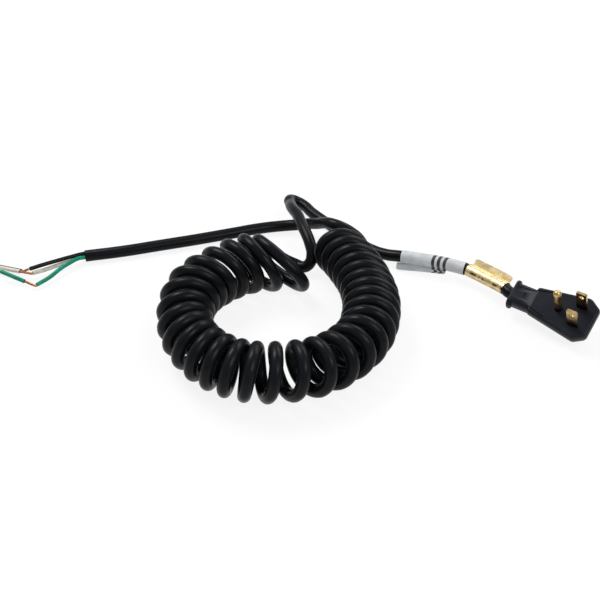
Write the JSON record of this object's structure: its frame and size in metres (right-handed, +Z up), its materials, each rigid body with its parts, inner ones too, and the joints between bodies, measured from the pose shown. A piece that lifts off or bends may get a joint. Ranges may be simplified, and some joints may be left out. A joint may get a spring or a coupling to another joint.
{
  "type": "shore power cord",
  "caption": "Black power cord with a flat right-angle three-pin plug, a curly middle stretch and a stripped far end with three cores.",
  "frame": {"origin": "on the table, under the middle of the plug's bounding box; the rest of the cord lies towards -X", "axes": "+X along the plug's long side, away from its cord; +Z up; the plug lies rolled 27 degrees about +X, so its pins point along (0, -0.454, 0.891)"},
  "size_m": [0.3427, 0.1935, 0.0379],
  "materials": {
    "plug_plastic": "matte, moulded",
    "carrier_plastic": "matte",
    "blade_metal": "aged brass",
    "black_core": "satin",
    "white_core": "satin",
    "green_core": "satin",
    "copper": "bare twisted copper",
    "cord_jacket": "satin",
    "label_film": "plain film with three dark bands",
    "foil": "pale gold foil"
  },
  "bodies": {
    "cord": {"plug_cover": "plug_plastic", "blade_carrier": "carrier_plastic", "line_blade": "blade_metal", "neutral_blade": "blade_metal", "ground_pin": "blade_metal", "line_wire": "black_core", "neutral_wire": "white_core", "ground_wire": "green_core", "line_wire_end": "copper", "neutral_wire_end": "copper", "ground_wire_end": "copper", "tail_jacket": "cord_jacket", "coil_jacket": "cord_jacket", "lead_jacket": "cord_jacket", "hot_insulation": "black_core", "neutral_insulation": "white_core", "ground_insulation": "green_core", "hot_strands": "copper", "neutral_strands": "copper", "ground_strands": "copper", "cable_label": "label_film", "foil_tag": "foil"},
    "hot_end": {"hot_slug": "black_core"},
    "neutral_end": {"neutral_slug": "white_core"},
    "ground_end": {"ground_slug": "green_core"}
  },
  "joints": [
    {"name": "hot_slug_slide", "type": "slide", "parent": "cord", "child": "hot_end", "axis": [-0.9447, -0.3279, 0], "range_m": [0, 0.016]},
    {"name": "neutral_slug_slide", "type": "slide", "parent": "cord", "child": "neutral_end", "axis": [-0.9447, -0.3279, 0], "range_m": [0, 0.016]},
    {"name": "ground_slug_slide", "type": "slide", "parent": "cord", "child": "ground_end", "axis": [-0.9578, -0.2344, 0.1663], "range_m": [0, 0.016]}
  ]
}
